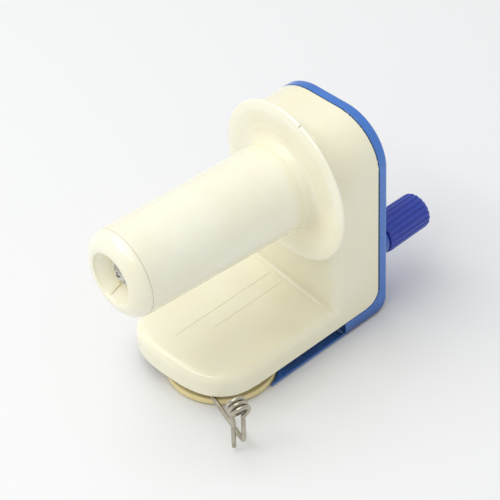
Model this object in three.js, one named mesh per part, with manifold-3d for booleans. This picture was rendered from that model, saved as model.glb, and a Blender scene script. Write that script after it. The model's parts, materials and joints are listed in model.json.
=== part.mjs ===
// Hand-cranked yarn ball winder. Millimetres, +Z up, -Y is the front (the free end of the spool).
// Drawing frame: on the table, with y = 0 in the seam between the cream housing and the blue cover.
import * as THREE from 'three';
import { mergeVertices } from 'three/addons/utils/BufferGeometryUtils.js';
import Module from 'manifold-3d';

const wasm = await Module();
wasm.setup();

// ---- housing ----
const HALF_W = 42.5;
const HEIGHT = 135.2;
const TOP_R = 30.4;
const SEAM_Z = 9.7;
const TOWER_D = 33.2;
const FRONT_SLANT = 0.11;
const EDGE_R = 8.5;
const PLATFORM_Z = 24.2;
const PLATFORM_R = 5.5;
const SIDE_END = 96;
const FRONT_END = 130.3;
const FRONT_POWER = 2.71;
const WALL = 2.4;
const BACK_Y = 7.2;
const SEAM_GAP = 0.3;
const RECESS_DEEP = 7.2;
const RECESS_ROOF = 8.5;
const SEAM_CORNER = 10;
const BACK_CORNER = 9;
const REST_SHIFT = 50;

// ---- drive ----
const MAIN_Z = 106.5;
const GEAR_MODULE = 1.25;
const DRIVE_TEETH = 40;
const PINION_TEETH = 10;
const CRANK_Z = MAIN_Z - GEAR_MODULE * (DRIVE_TEETH + PINION_TEETH) / 2;
const SUN_TEETH = 8;
const RING_TEETH = 26;
const RING_MODULE = 1.5;
const CRANK_R = 3;
const MAIN_R = 2.5;
const AXLE_R = 3;
const FIT = 0.12;
const GRIP_X = 26.9;
const GRIP_Z = 40.7;

// ---- spool, in its own frame: +Z along the tilted axis, towards the free end ----
const FLANGE_Y = -45.3;
const TILT = THREE.MathUtils.degToRad(4.984);
const PHASE = THREE.MathUtils.degToRad(13.3);
const RING_S = -4.8;
const RING_OFFSET = RING_MODULE * (RING_TEETH - SUN_TEETH) / 2;
const TUBE_R = 26.8;
const TUBE_END = 114;
const NOTCH_DEG = 59;
const RIB_DEG = -120;

// ---- yarn guide ----
const DISC_X = 9;
const DISC_Y = -96;
const DISC_R = 32.2;
const DISC_TOP = 6.1;
const DISC_RIM = 4.4;
const CLAMP_Y = -107.9;
const WIRE_R = 1.4;
const WIRE_Z = 7.85;
const GUIDE_ANGLE = THREE.MathUtils.degToRad(-18.8);
const ARM_LENGTH = 73.4;
const COIL_R = 4.4;
const COIL_FROM = -70;
const COIL_TO = 920;
const COIL_PITCH = 2.95;
const COIL_RISE = 27.6;
const COIL_SHIFT = 2.5;
const TAIL_Z = 2.4;
const TAIL_SHIFT = 2.6;

const CREAM = { color: 0xf0ecd8, roughness: 0.28, metalness: 0 };
const CREAM_DARK = { color: 0xe6d8ae, roughness: 0.35, metalness: 0 };
const BLUE = { color: 0x2f5fc8, roughness: 0.3, metalness: 0 };
const GRIP_BLUE = { color: 0x2b43b0, roughness: 0.38, metalness: 0 };
const NYLON = { color: 0xf2f1ea, roughness: 0.45, metalness: 0 };
const STEEL = { color: 0xb8babd, roughness: 0.28, metalness: 1 };
const NICKEL = { color: 0xc9c4b8, roughness: 0.2, metalness: 1 };
const BRASS = { color: 0xb8924a, roughness: 0.35, metalness: 1 };

const root = new THREE.Group();
root.name = 'yarn_ball_winder';
// the drawing is laid out from the seam plane; this group puts the origin on the resting face
const machine = new THREE.Group();
machine.name = 'machine';
machine.position.y = REST_SHIFT;
root.add(machine);

// ---------------------------------------------------------------- helpers
function solid(geometry) {
  const g = geometry.clone();
  g.deleteAttribute('normal');
  g.deleteAttribute('uv');
  const m = mergeVertices(g, 1e-5);
  const mesh = new wasm.Mesh({
    numProp: 3,
    vertProperties: new Float32Array(m.attributes.position.array),
    triVerts: new Uint32Array(m.index.array),
  });
  return new wasm.Manifold(mesh);
}

function geometryOf(body) {
  const mesh = body.getMesh();
  const g = new THREE.BufferGeometry();
  g.setAttribute('position', new THREE.BufferAttribute(new Float32Array(mesh.vertProperties), 3));
  g.setIndex(new THREE.BufferAttribute(new Uint32Array(mesh.triVerts), 1));
  return g;
}

function join(parts) {
  return parts.reduce((sum, part) => sum.add(part));
}

function cut(body, tools) {
  return tools.reduce((rest, tool) => rest.subtract(tool), body);
}

function node(name, shape, look, parent = machine) {
  const g = shape.isBufferGeometry ? shape : geometryOf(shape);
  const material = new THREE.MeshStandardMaterial(look);
  material.name = name;
  const mesh = new THREE.Mesh(g.index ? g.toNonIndexed() : g, material);
  mesh.geometry.deleteAttribute('normal');
  mesh.geometry.computeVertexNormals();
  mesh.name = name;
  parent.add(mesh);
  return mesh;
}

// closed skin over rings of equal length; the end rings are closed with fans
function loft(rings) {
  const count = rings[0].length;
  const points = rings.flat();
  const faces = [];
  for (let i = 0; i + 1 < rings.length; i += 1) {
    for (let j = 0; j < count; j += 1) {
      const a = i * count + j;
      const b = i * count + (j + 1) % count;
      faces.push([a, b, b + count], [a, b + count, a + count]);
    }
  }
  const last = (rings.length - 1) * count;
  for (const [ring, start, flip] of [[rings[0], 0, true], [rings.at(-1), last, false]]) {
    const centre = [0, 1, 2].map((k) => ring.reduce((sum, p) => sum + p[k], 0) / count);
    const c = points.push(centre) - 1;
    for (let j = 0; j < count; j += 1) {
      const a = start + j;
      const b = start + (j + 1) % count;
      faces.push(flip ? [b, a, c] : [a, b, c]);
    }
  }
  const g = new THREE.BufferGeometry();
  g.setAttribute('position', new THREE.BufferAttribute(new Float32Array(points.flat()), 3));
  g.setIndex(faces.flat());
  const body = solid(g);
  if (body.volume() > 0) return body;
  g.setIndex(faces.map(([a, b, c]) => [a, c, b]).flat());
  return solid(g);
}

function box(x0, x1, y0, y1, z0, z1) {
  const g = new THREE.BoxGeometry(x1 - x0, y1 - y0, z1 - z0);
  g.translate((x0 + x1) / 2, (y0 + y1) / 2, (z0 + z1) / 2);
  return solid(g);
}

// round bar along Y or Z
function rodY(r, x, z, y0, y1, n = 24) {
  const g = new THREE.CylinderGeometry(r, r, y1 - y0, n);
  g.translate(x, (y0 + y1) / 2, z);
  return solid(g);
}

function rodZ(r, x, y, z0, z1, n = 24) {
  const g = new THREE.CylinderGeometry(r, r, z1 - z0, n);
  g.rotateX(Math.PI / 2);
  g.translate(x, y, (z0 + z1) / 2);
  return solid(g);
}

// turned shape about Z from [radius, height] points
function turned(profile, n = 48) {
  const g = new THREE.LatheGeometry(profile.map(([r, s]) => new THREE.Vector2(r, s)), n);
  g.rotateX(Math.PI / 2);
  const body = solid(g);
  if (body.volume() > 0) return body;
  const m = mergeVertices(g, 1e-5);
  const idx = Array.from(m.index.array);
  for (let i = 0; i < idx.length; i += 3) idx.splice(i, 3, idx[i], idx[i + 2], idx[i + 1]);
  m.setIndex(idx);
  return solid(m);
}

// flat outline in (a, b) pushed along X, Y or Z
function prism(outline, depth, axis, start) {
  const shape = new THREE.Shape(outline.map(([a, b]) => new THREE.Vector2(a, b)));
  const g = new THREE.ExtrudeGeometry(shape, { depth, bevelEnabled: false });
  if (axis === 'Z') g.translate(0, 0, start);
  if (axis === 'Y') g.rotateX(Math.PI / 2).translate(0, start + depth, 0);
  if (axis === 'X') g.rotateX(Math.PI / 2).rotateZ(Math.PI / 2).translate(start, 0, 0);
  return solid(g);
}

function arc(cx, cy, r, a0, a1, n) {
  return Array.from({ length: n + 1 }, (_, i) => {
    const a = THREE.MathUtils.degToRad(a0 + (a1 - a0) * i / n);
    return [cx + r * Math.cos(a), cy + r * Math.sin(a)];
  });
}

// tower outline in X and Z, moved in by `inset`, standing on z0
function towerOutline(inset, z0) {
  const w = HALF_W - inset;
  const top = HEIGHT - inset;
  const r = TOP_R - inset;
  return [
    [-w, z0],
    [w, z0],
    ...arc(w - r, top - r, r, 0, 90, 10),
    ...arc(-w + r, top - r, r, 90, 180, 10),
  ];
}

// the front face is slightly turned in plan, so its rings shear with x
function towerRing(inset, z0, y, slant = 0) {
  return towerOutline(inset, z0).map(([x, z]) => [x, y - slant * x, z]);
}

// base outline in X and Y: straight sides and a blunt rounded front
function baseOutline(inset, rear) {
  const w = HALF_W - inset;
  const nose = FRONT_END - SIDE_END - inset;
  const points = [[w, rear]];
  for (let i = 0; i <= 24; i += 1) {
    const t = Math.PI / 2 - Math.PI * i / 24;
    const sx = Math.sign(Math.sin(t)) * Math.abs(Math.sin(t)) ** (2 / FRONT_POWER);
    const sy = Math.abs(Math.cos(t)) ** (2 / FRONT_POWER);
    points.push([w * sx, -SIDE_END - nose * sy]);
  }
  points.push([-w, rear]);
  return points;
}

function baseRing(inset, rear, z) {
  return baseOutline(inset, rear).map(([x, y]) => [x, y, z]);
}

// toothed outline; a tooth is centred on angle `phase`
function gearOutline(teeth, module, phase, thin, tip = 1, foot = 1.25) {
  const pitch = module * teeth / 2;
  const baseR = pitch * Math.cos(Math.PI / 9);
  const tipR = pitch + tip * module;
  const rootR = pitch - foot * module;
  const inv = (r) => {
    const k = Math.sqrt(Math.max((r / baseR) ** 2 - 1, 0));
    return k - Math.atan(k);
  };
  const half = Math.PI / (2 * teeth) - thin / (2 * pitch);
  const startR = Math.max(baseR, rootR + 0.05);
  const flank = (teeth > 20 ? [0.1, 1] : [0, 0.5, 1]).map((k) => startR + (tipR - startR) * k);
  const points = [];
  for (let i = 0; i < teeth; i += 1) {
    const mid = phase + 2 * Math.PI * i / teeth;
    const side = flank.map((r) => [r, Math.max(half + inv(pitch) - inv(r), 0.002)]);
    const foot0 = [rootR, half + inv(pitch) + 0.004];
    for (const [r, a] of [foot0, ...side]) points.push([r * Math.cos(mid - a), r * Math.sin(mid - a)]);
    for (const [r, a] of [...side].reverse()) points.push([r * Math.cos(mid + a), r * Math.sin(mid + a)]);
    points.push([rootR * Math.cos(mid + foot0[1]), rootR * Math.sin(mid + foot0[1])]);
  }
  return points;
}

// screw along -Z of its own frame: domed head above z = 0, shank below, cross recess
function screw(headR, headH, shankR, length) {
  const body = turned([
    [0, -length], [shankR * 0.6, -length], [shankR, -length + 1],
    [shankR, 0], [headR, 0], [headR, headH * 0.45],
    [headR * 0.72, headH * 0.85], [0, headH],
  ], 12);
  const w = headR * 0.16;
  const reach = headR * 0.6;
  const deep = headH * 0.4;
  return cut(body, [
    box(-reach, reach, -w, w, deep, headH + 1),
    box(-w, w, -reach, reach, deep, headH + 1),
  ]);
}

function turnY(body, front) {
  return body.rotate([front ? 90 : -90, 0, 0]);
}

// ---------------------------------------------------------------- front housing
const frontRings = [];
frontRings.push(towerRing(0, SEAM_Z + 4, 0));
for (let i = 0; i <= 4; i += 1) {
  const a = Math.PI / 2 * i / 4;
  const inset = EDGE_R * (1 - Math.cos(a));
  const y = -(TOWER_D - EDGE_R) - EDGE_R * Math.sin(a);
  frontRings.push(towerRing(inset, SEAM_Z + 4, y, FRONT_SLANT * Math.sin(a)));
}
const baseRings = [baseRing(0, 0, SEAM_Z)];
for (let i = 0; i <= 3; i += 1) {
  const a = Math.PI / 2 * i / 3;
  const inset = PLATFORM_R * (1 - Math.cos(a));
  baseRings.push(baseRing(inset, 0, PLATFORM_Z - PLATFORM_R + PLATFORM_R * Math.sin(a)));
}
const outerShell = loft(frontRings).add(loft(baseRings));
const innerTower = loft([
  towerRing(WALL, SEAM_Z - 1, 1),
  towerRing(WALL, SEAM_Z - 1, -(TOWER_D - EDGE_R)),
  towerRing(WALL + 2, SEAM_Z - 1, -(TOWER_D - 4), FRONT_SLANT * 0.8),
  towerRing(EDGE_R, SEAM_Z - 1, -(TOWER_D - WALL), FRONT_SLANT),
]);
const innerBase = loft([
  baseRing(WALL, 1, SEAM_Z - 1),
  baseRing(WALL, 1, PLATFORM_Z - PLATFORM_R),
  baseRing(WALL + 2, 1, PLATFORM_Z - WALL),
]);
const seamCorner = prism([
  [1, SEAM_Z - 1], [1, SEAM_Z + SEAM_CORNER],
  ...arc(-SEAM_CORNER, SEAM_Z + SEAM_CORNER, SEAM_CORNER, 0, -90, 8),
  [-SEAM_CORNER, SEAM_Z - 1],
], 2 * HALF_W + 2, 'X', -HALF_W - 1);

const postSpots = [[-34, 38], [34, 38], [-26, 117], [26, 117]];
const panSpots = [[-27, -46], [27, -46]];
const ceiling = PLATFORM_Z - WALL + 0.5;
const wallIn = -(TOWER_D - WALL) - 0.3;
const bosses = [
  rodY(10, 0, MAIN_Z, wallIn - 1, -24),
  rodY(13, 0, MAIN_Z, -TOWER_D - 1.3, -TOWER_D + 1.5, 32),
  rodY(7.5, 0, CRANK_Z, wallIn - 0.6, -23),
  ...postSpots.map(([x, z]) => rodY(4, x, z, wallIn - 0.4 - FRONT_SLANT * x, -0.2, 12)),
  ...panSpots.map(([x, y]) => rodZ(3.6, x, y, 4.9, ceiling, 12)),
  rodZ(5.4, DISC_X, DISC_Y, DISC_TOP + 0.4, ceiling, 16),
];
const groove = (x, y0, y1) => box(x - 0.25, x + 0.25, y0, y1, PLATFORM_Z - 0.2, PLATFORM_Z + 1);
const housingCuts = [
  rodY(5.8, 0, MAIN_Z, -40, -20),
  rodY(5.3, 0, CRANK_Z, -30.2, -20),
  ...postSpots.map(([x, z]) => rodY(1.8, x, z, -16, 1, 8)),
  ...panSpots.map(([x, y]) => rodZ(1.7, x, y, 4, 17, 8)),
  rodZ(1.9, DISC_X, DISC_Y, 5, 18, 8),
  groove(-9.4, -113, -38),
  groove(1.6, -94, -38),
];
const shell = cut(outerShell, [innerTower, innerBase, seamCorner]);
node('front_housing', cut(join([shell, ...bosses]), housingCuts), CREAM);

// ---------------------------------------------------------------- rear cover with its base pan
const coverBack = loft([
  towerRing(0, 0, SEAM_GAP), towerRing(0, 0, BACK_Y - 2.2),
  towerRing(0.6, 0, BACK_Y - 0.7), towerRing(2.1, 0, BACK_Y),
]);
const panRing = (inset, z) => [
  [HALF_W - inset, 3.5, z], [HALF_W - inset, -SIDE_END, z],
  [-HALF_W + inset, -SIDE_END, z], [-HALF_W + inset, 3.5, z],
];
const pan = loft([panRing(1.2, 0), panRing(0.3, 0.5), panRing(0, 1.4), panRing(0, SEAM_Z - SEAM_GAP)]);
const cornerFill = prism([
  [3.5, 1.4], [3.5, SEAM_Z + SEAM_CORNER],
  ...arc(-SEAM_CORNER, SEAM_Z + SEAM_CORNER, SEAM_CORNER + SEAM_GAP, 0, -90, 8),
  [-SEAM_CORNER, 1.4],
], 2 * HALF_W, 'X', -HALF_W);
const backCorner = prism([
  [BACK_Y + 1, -1], [BACK_Y + 1, BACK_CORNER],
  ...arc(BACK_Y - BACK_CORNER, BACK_CORNER, BACK_CORNER, 0, -90, 8),
  [BACK_Y - BACK_CORNER, -1],
], 2 * HALF_W + 2, 'X', -HALF_W - 1);
// side recess under the housing's edge: roofed inside, with a floor that falls outwards
function scallopSection(grow) {
  const roof = grow > 0 ? SEAM_Z + 1.9 : RECESS_ROOF;
  const deep = HALF_W - RECESS_DEEP - grow;
  return [
    [HALF_W + 3, SEAM_Z + 2], [HALF_W - 1.9, SEAM_Z + 2], [HALF_W - 1.9, roof], [deep, roof],
    [deep, 4.6], [deep + 2.6, 2.6], [HALF_W - 0.6 - grow, 1.2], [HALF_W + 3, 1.2],
  ];
}
function scallop(side, grow) {
  const rings = [-SIDE_END - 1 - grow, -38, -33.5, -30, -28 + grow].map((y, i) => {
    const shift = [0, 0, 0.9, 3.2, RECESS_DEEP + 0.4][i];
    return scallopSection(grow).map(([x, z]) => [side * (x + shift), y, z]);
  });
  return loft(rings);
}
const panHollow = [
  loft([towerRing(WALL, 12, -1), towerRing(WALL, 12, BACK_Y - WALL)]),
  cut(box(-HALF_W + WALL, HALF_W - WALL, -SIDE_END + 2, BACK_Y - WALL, WALL, 20), [
    scallop(1, WALL), scallop(-1, WALL),
    rodZ(DISC_R + 2.8, DISC_X, DISC_Y, 0, 30, 48),
    backCorner.translate([0, -WALL, WALL]),
  ]),
];
const coverBosses = [
  ...postSpots.map(([x, z]) => rodY(5, x, z, 0.4, BACK_Y - 1.5, 12)),
  rodY(8, 0, CRANK_Z, -3, BACK_Y + 2.2),
  rodY(7, 0, MAIN_Z, -3.5, BACK_Y - 1.5),
  ...panSpots.map(([x, y]) => rodZ(5, x, y, 1.2, 4.6, 12)),
];
const coverCuts = [
  ...postSpots.map(([x, z]) => rodY(1.8, x, z, -1, 10, 8)),
  ...postSpots.map(([x, z]) => rodY(3.3, x, z, BACK_Y - 2.2, 10, 12)),
  rodY(4.8, 0, CRANK_Z, -5, 12),
  rodY(4.3, 0, MAIN_Z, -5, 2.8),
  ...panSpots.map(([x, y]) => rodZ(1.8, x, y, -1, 6, 8)),
  ...panSpots.map(([x, y]) => rodZ(3.3, x, y, -1, 2.4, 12)),
];
let cover = cut(join([coverBack, pan, cornerFill]), [backCorner, ...panHollow]);
cover = cut(cover, [
  scallop(1, 0), scallop(-1, 0),
  rodZ(DISC_R + 0.6, DISC_X, DISC_Y, -1, 15, 48),
  box(DISC_X, HALF_W + 1, -SIDE_END - 1, -SIDE_END + 7, -1, 15),
]);
node('rear_cover', cut(join([cover, ...coverBosses]), coverCuts), BLUE);

// ---------------------------------------------------------------- swivel disc under the front
const disc = turned([
  [3.1, 2.9], [7, 2.9], [7.6, 2.4], [DISC_R - 3, 2.4], [DISC_R - 2.4, 0.6],
  [DISC_R - 0.4, 0.6], [DISC_R, 1.1], [DISC_R, DISC_RIM - 0.6], [DISC_R - 0.6, DISC_RIM],
  [24, DISC_RIM + 0.1], [22.4, DISC_TOP], [3.1, DISC_TOP], [3.1, 2.9],
], 48).translate([DISC_X, DISC_Y, 0]);
node('guide_disc', cut(disc.add(rodZ(4.2, 0, CLAMP_Y, 1.2, DISC_TOP - 1, 16)), [
  rodZ(1.7, 0, CLAMP_Y, 2.2, 10, 12),
]), CREAM_DARK);

// ---------------------------------------------------------------- case screws
postSpots.forEach(([x, z], i) => {
  node(`cover_screw_${i + 1}`, turnY(screw(2.9, 1.7, 1.4, 16), false).translate([x, BACK_Y - 2, z]), STEEL);
});
panSpots.forEach(([x, y], i) => {
  const up = screw(2.9, 1.4, 1.3, 12).rotate([180, 0, 0]).translate([x, y, 2.2]);
  node(`pan_screw_${i + 1}`, up, STEEL);
});

// ---------------------------------------------------------------- bushes and fixed sun gear
function bushY(outer, inner, x, z, y0, y1) {
  return rodY(outer, x, z, y0, y1).subtract(rodY(inner, x, z, y0 - 1, y1 + 1));
}
node('crank_bush_rear', bushY(4.5, CRANK_R + FIT, 0, CRANK_Z, -2.8, BACK_Y + 1.9), BRASS);
node('crank_bush_front', bushY(5, CRANK_R + FIT, 0, CRANK_Z, -29.8, -23.4), BRASS);
node('main_bush_rear', bushY(4, MAIN_R + FIT, 0, MAIN_Z, -3.3, 2.6), BRASS);
node('main_bush_front', bushY(4, MAIN_R + FIT, 0, MAIN_Z, -34.3, -26.4), BRASS);

const sunPhase = PHASE + Math.PI;
const sunTeeth = prism(gearOutline(SUN_TEETH, RING_MODULE, sunPhase, 0.3, 0.85, 1.15), 6.4, 'Y', -42.4)
  .translate([0, 0, MAIN_Z]);
const sun = join([sunTeeth, rodY(9, 0, MAIN_Z, -36.1, -34.8), rodY(5.5, 0, MAIN_Z, -35, -26)]);
node('fixed_sun_gear', cut(sun, [
  rodY(MAIN_R + 0.3, 0, MAIN_Z, -50, -34),
  rodY(4.3, 0, MAIN_Z, -34.6, -20),
]), NYLON);

// ---------------------------------------------------------------- crank
const up = Math.PI / 2;
const driveBlank = prism(gearOutline(DRIVE_TEETH, GEAR_MODULE, up, 0.25), 6, 'Y', -14);
const driveHub = rodY(8, 0, 0, -16, -6);
const windows = [0, 1, 2, 3, 4].map((i) => {
  const a = 2 * Math.PI * i / 5 + 0.3;
  return rodY(5, 15 * Math.cos(a), 15 * Math.sin(a), -20, 0, 12);
});
node('drive_gear', cut(driveBlank.add(driveHub), [rodY(CRANK_R + 0.25, 0, 0, -20, 0), ...windows])
  .translate([0, 0, CRANK_Z]), NYLON);
const crankShaft = cut(rodY(CRANK_R, 0, CRANK_Z, -29.4, 14.4), [rodY(1.5, 0, CRANK_Z, 6, 20, 12)]);
node('crank_shaft', crankShaft, STEEL);
node('crank_ring', bushY(5, CRANK_R + 0.25, 0, CRANK_Z, -19.5, -17), STEEL);

const armLength = Math.hypot(GRIP_X, CRANK_Z - GRIP_Z);
const armAngle = Math.atan2(GRIP_Z - CRANK_Z, GRIP_X);
function armRing(grow, y) {
  const big = 11 + grow;
  const small = 10.6 + grow;
  const lean = THREE.MathUtils.radToDeg(Math.acos((big - small) / armLength));
  const outline = [
    ...arc(0, 0, big, lean, 360 - lean, 16),
    ...arc(armLength, 0, small, -lean, lean, 12),
  ];
  const c = Math.cos(armAngle);
  const s = Math.sin(armAngle);
  return outline.map(([a, b]) => [a * c - b * s, y, CRANK_Z + a * s + b * c]);
}
const arm = loft([armRing(-1, 9.8), armRing(0, 10.6), armRing(0, 14.2), armRing(-1, 15)])
  .add(rodY(7, 0, CRANK_Z, 11, 17.2));
node('crank_arm', cut(arm, [
  rodY(CRANK_R + 0.25, 0, CRANK_Z, 0, 14.7),
  rodY(1.8, 0, CRANK_Z, 0, 30, 16),
  rodY(2.8, GRIP_X, GRIP_Z, 0, 30, 24),
]), BLUE);
node('crank_screw', turnY(screw(3.6, 2.2, 1.3, 9), false).translate([0, 17.5, CRANK_Z]), STEEL);

// grip pin and ribbed grip
const pin = join([rodY(2.5, 0, 0, 10, 47, 24), rodY(4.3, 0, 0, 46.6, 48.2, 24)]);
node('grip_pin', pin.translate([GRIP_X, 0, GRIP_Z]), STEEL);
const GRIP_RIBS = 20;
function gripRing(r, depth, y) {
  const ring = [];
  for (let i = 0; i < GRIP_RIBS; i += 1) {
    for (const [k, drop] of [[0, 0], [0.45, 0], [0.62, 1], [0.83, 1]]) {
      const a = 2 * Math.PI * (i + k) / GRIP_RIBS;
      ring.push([(r - depth * drop) * Math.cos(a), y, (r - depth * drop) * Math.sin(a)]);
    }
  }
  return ring;
}
const grip = loft([
  gripRing(10, 0.2, 15.5), gripRing(11.5, 0.9, 16.5), gripRing(11.2, 0.9, 47.4),
  gripRing(10.2, 0.5, 49.2), gripRing(8.8, 0.05, 49.7),
]);
node('crank_grip', cut(grip, [
  rodY(2.75, 0, 0, 0, 60, 24),
  rodY(5, 0, 0, 46.2, 60, 24),
]).translate([GRIP_X, 0, GRIP_Z]), GRIP_BLUE);

// ---------------------------------------------------------------- winding head on the main axis
const axisDir = new THREE.Vector3(
  -Math.sin(TILT) * Math.cos(PHASE), -Math.cos(TILT), -Math.sin(TILT) * Math.sin(PHASE));
const reach = RING_OFFSET / Math.tan(TILT);
const apex = new THREE.Vector3(0, FLANGE_Y - RING_S * Math.cos(TILT) - reach, MAIN_Z);
const origin = apex.clone().addScaledVector(axisDir, -(reach / Math.cos(TILT) + RING_S));
const spoolFrame = new THREE.Group();
spoolFrame.name = 'spool_axis';
const side = new THREE.Vector3(Math.cos(PHASE), 0, Math.sin(PHASE));
side.addScaledVector(axisDir, -side.dot(axisDir)).normalize();
const third = new THREE.Vector3().crossVectors(axisDir, side);
const basis = new THREE.Matrix4().makeBasis(side, third, axisDir);
spoolFrame.quaternion.setFromRotationMatrix(basis);
spoolFrame.position.copy(origin);
machine.add(spoolFrame);
const toWorld = new THREE.Matrix4().makeBasis(side, third, axisDir).setPosition(origin);
const tilted = (body) => body.transform(toWorld.elements);

const shaft = rodY(MAIN_R, 0, MAIN_Z, -51, 2.2);
node('main_shaft', shaft, STEEL);
const pinionPhase = -up + 2 * Math.PI / PINION_TEETH / 2;
const pinion = prism(gearOutline(PINION_TEETH, GEAR_MODULE, pinionPhase, 0.25), 8, 'Y', -15)
  .add(rodY(4.6, 0, 0, -20, -14));
node('pinion', cut(pinion, [rodY(MAIN_R + 0.2, 0, 0, -30, 0)]).translate([0, 0, MAIN_Z]), NYLON);
node('main_ring', bushY(4.4, MAIN_R + 0.2, 0, MAIN_Z, -6.2, -4.4), STEEL);

// carrier arm inside the spool's root: holds the tilted axle off the main axis
const offset = 13.1;
const carrier = join([
  rodY(7.5, 0, MAIN_Z, -52, -43.2),
  tilted(rodZ(7.5, 0, 0, -1.6, 8, 24)),
  tilted(box(-offset, 0, -5.5, 5.5, -1, 6)),
]).intersect(rodY(60, 0, MAIN_Z, -60, -43.2, 8));
node('carrier', cut(carrier, [
  rodY(MAIN_R + 0.25, 0, MAIN_Z, -51.3, -40),
  tilted(rodZ(AXLE_R + 0.25, 0, 0, 0.6, 20, 24)),
]), NYLON);
const axle = cut(rodZ(AXLE_R, 0, 0, 0.8, 114.3), [rodZ(1.6, 0, 0, 103, 120, 12)]);
node('spool_axle', axle, STEEL, spoolFrame);
node('axle_washer', turned([[1.7, 114.6], [6.5, 114.6], [6.5, 115.4], [1.7, 115.4], [1.7, 114.6]], 20), STEEL,
  spoolFrame);
node('axle_screw', screw(4.4, 2.6, 1.35, 11).translate([0, 0, 115.6]), NICKEL, spoolFrame);

// ---------------------------------------------------------------- spool
const tubeProfile = [
  [24.6, -6.6], [26.9, -6.6], [26.9, -2.1], [44.5, -0.9], [49.4, -1.6],
  [50, -0.8], [49.2, 0.4], [44.4, 1.35], [36, 0.9], [31.2, 1.6], [28.5, 3.2],
  [TUBE_R + 0.1, 8], [TUBE_R - 0.3, TUBE_END], [24.9, TUBE_END],
  [24.6, 14.4], [7.5, 14.4], [7.5, 30], [4.4, 30], [4.4, 11.8], [24.6, 11.8], [24.6, -6.6],
];
const notch = prism([[0, 0], [4.2, -0.9], [4.2, 0.9]], 6, 'Z', -3)
  .translate([46.4, 0, 0]).rotate([0, 0, NOTCH_DEG]);
node('spool_tube', turned(tubeProfile, 48).subtract(notch), CREAM, spoolFrame);
const capProfile = [
  [22.4, 107], [24.3, 107], [24.3, TUBE_END + 0.3], [26.4, TUBE_END + 0.3],
  ...arc(16.7, TUBE_END - 1.1, 9.8, 12, 90, 6),
  [15.9, 122.4], [15.3, 121],
  [9, 114.1], [4.4, 114.1], [4.4, 103], [7.4, 103], [7.4, 111.4], [10.3, 112.6],
  [15.8, 118.9], [17.4, 120], [20, 118.6], [22.4, 116], [22.4, 107],
];
const capRib = prism([[8.5, 113], [10, 114.4], [15, 120], [15, 121.6], [13, 120], [8.5, 115.3]],
  1, 'Y', -0.5);
node('end_cap', turned(capProfile, 36).add(capRib.rotate([0, 0, RIB_DEG])), CREAM, spoolFrame);
const bushZ = (outer, inner, z0, z1) => rodZ(outer, 0, 0, z0, z1).subtract(rodZ(inner, 0, 0, z0 - 1, z1 + 1));
node('spool_bush_rear', bushZ(4.1, AXLE_R + FIT, 11.9, 29.6), NYLON, spoolFrame);
node('spool_bush_front', bushZ(4.1, AXLE_R + FIT, 103.2, 113.8), NYLON, spoolFrame);

// ring gear: its spaces are the shape of a slightly larger toothed wheel
const ringSpace = prism(gearOutline(RING_TEETH, RING_MODULE, Math.PI, -0.3, 1.3, 0.85), 20, 'Z', -15);
node('ring_gear', rodZ(24.3, 0, 0, -6.5, -3, 40).subtract(ringSpace), NYLON, spoolFrame);

// ---------------------------------------------------------------- yarn guide
node('pivot_screw', screw(4, 1.6, 1.5, 13).rotate([180, 0, 0]).translate([DISC_X, DISC_Y, 2.6]), STEEL);
node('pivot_sleeve', turned([[1.8, 2.9], [2.8, 2.9], [2.8, 6.3], [1.8, 6.3], [1.8, 2.9]], 20)
  .translate([DISC_X, DISC_Y, 0]), BRASS);
node('clamp_washer', turned([[1.8, 9.6], [5.4, 9.6], [5.4, 10.3], [1.8, 10.3], [1.8, 9.6]], 20)
  .translate([0, CLAMP_Y, 0]), STEEL);
node('clamp_screw', screw(3, 1.8, 1.4, 7.8).translate([0, CLAMP_Y, 10.5]), STEEL);

const eyeR = 4.35;
const armDir = new THREE.Vector3(Math.cos(GUIDE_ANGLE), Math.sin(GUIDE_ANGLE), 0);
const armSide = new THREE.Vector3(-Math.sin(GUIDE_ANGLE), Math.cos(GUIDE_ANGLE), 0);
const clamp = new THREE.Vector3(0, CLAMP_Y, WIRE_Z);
// wire eye round the clamp screw, then a straight arm out through the front slot
const guidePath = [];
for (let i = 0; i <= 16; i += 1) {
  const a = THREE.MathUtils.degToRad(-270 + 270 * i / 16);
  guidePath.push(clamp.clone().addScaledVector(armSide, -eyeR * Math.cos(a))
    .addScaledVector(armDir, eyeR * Math.sin(a)));
}
const armEnd = guidePath.at(-1).clone().addScaledVector(armDir, ARM_LENGTH);
for (const back of [40, 12, 4]) guidePath.push(armEnd.clone().addScaledVector(armDir, -back));
guidePath.push(armEnd.clone().addScaledVector(armDir, -1).add(new THREE.Vector3(0, 0, 0.9)));
for (const rise of [3.6, 8, 14, 18]) guidePath.push(armEnd.clone().add(new THREE.Vector3(0, 0, rise)));

// eyelet coil: across, up and along its own axis
const coilAxis = new THREE.Vector3(0.90, -0.20, -0.38).normalize();
const coilAcross = new THREE.Vector3(0, 0, 1).cross(coilAxis).normalize();
const coilUp = new THREE.Vector3().crossVectors(coilAxis, coilAcross);
const coilCentre = armEnd.clone().addScaledVector(coilAcross, -COIL_SHIFT)
  .add(new THREE.Vector3(0, 0, COIL_RISE));
const steps = 64;
for (let i = 0; i <= steps; i += 1) {
  const sweep = COIL_TO - COIL_FROM;
  const a = THREE.MathUtils.degToRad(COIL_FROM + sweep * i / steps);
  const along = COIL_PITCH * sweep / 360 * (0.5 - i / steps);
  guidePath.push(coilCentre.clone().addScaledVector(coilAcross, COIL_R * Math.cos(a))
    .addScaledVector(coilUp, COIL_R * Math.sin(a)).addScaledVector(coilAxis, along));
}
const tail = guidePath.at(-1);
for (const z of [22, 14, TAIL_Z]) {
  const lean = Math.min((tail.z - z) / 8, 1);
  guidePath.push(tail.clone().addScaledVector(coilAcross, TAIL_SHIFT * lean).setZ(z));
}
const guideCurve = new THREE.CatmullRomCurve3(guidePath, false, 'centripetal');
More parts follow.
